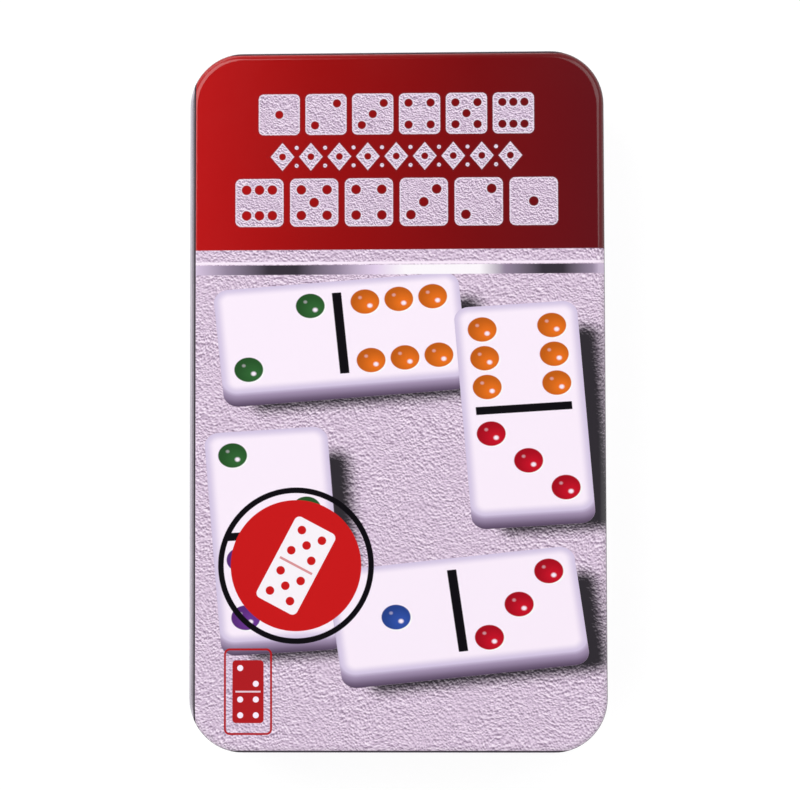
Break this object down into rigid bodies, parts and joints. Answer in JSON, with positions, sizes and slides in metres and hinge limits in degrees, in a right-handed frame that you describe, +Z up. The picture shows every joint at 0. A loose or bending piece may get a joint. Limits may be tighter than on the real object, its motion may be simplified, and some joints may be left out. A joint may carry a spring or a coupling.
{
  "type": "domino storage box",
  "caption": "Flat slip-lid tin with rounded corners, a printed drawn lid, a seamed bottom and a formed tray holding domino tiles in two layers.",
  "frame": {"origin": "centre of the bounding box's base, on the surface the tin lies on", "axes": "+Z up through the lid, +Y along the tin towards the lid's red band, +X across the tin"},
  "size_m": [0.115, 0.194, 0.03],
  "materials": {
    "lid_print": "glossy print on tinplate: deep red band over a pale leather grain, with a dark border line; the skirt past it is bright tinplate",
    "bare_tinplate": "bright unprinted tinplate under clear varnish",
    "tray_plastic": "thin black formed sheet, softly glossy",
    "tile": "polished white resin with painted pips and groove"
  },
  "bodies": {
    "tin": {"tin_bottom": "bare_tinplate", "tin_wall": "bare_tinplate", "tray": "tray_plastic", "domino_0_0": "tile", "domino_0_1": "tile", "domino_0_2": "tile", "domino_0_3": "tile", "domino_0_4": "tile", "domino_0_5": "tile", "domino_0_6": "tile", "domino_1_1": "tile", "domino_1_2": "tile", "domino_1_3": "tile", "domino_1_4": "tile", "domino_1_5": "tile", "domino_1_6": "tile", "domino_2_2": "tile", "domino_2_3": "tile", "domino_2_4": "tile", "domino_2_5": "tile", "domino_2_6": "tile", "domino_3_3": "tile", "domino_3_4": "tile", "domino_3_5": "tile", "domino_3_6": "tile", "domino_4_4": "tile", "domino_4_5": "tile", "domino_4_6": "tile", "domino_5_5": "tile", "domino_5_6": "tile", "domino_6_6": "tile"},
    "lid": {"lid": "lid_print"}
  },
  "joints": [
    {"name": "lid_lift", "type": "slide", "parent": "tin", "child": "lid", "axis": [0, 0, 1], "range_m": [0, 0.06]}
  ]
}
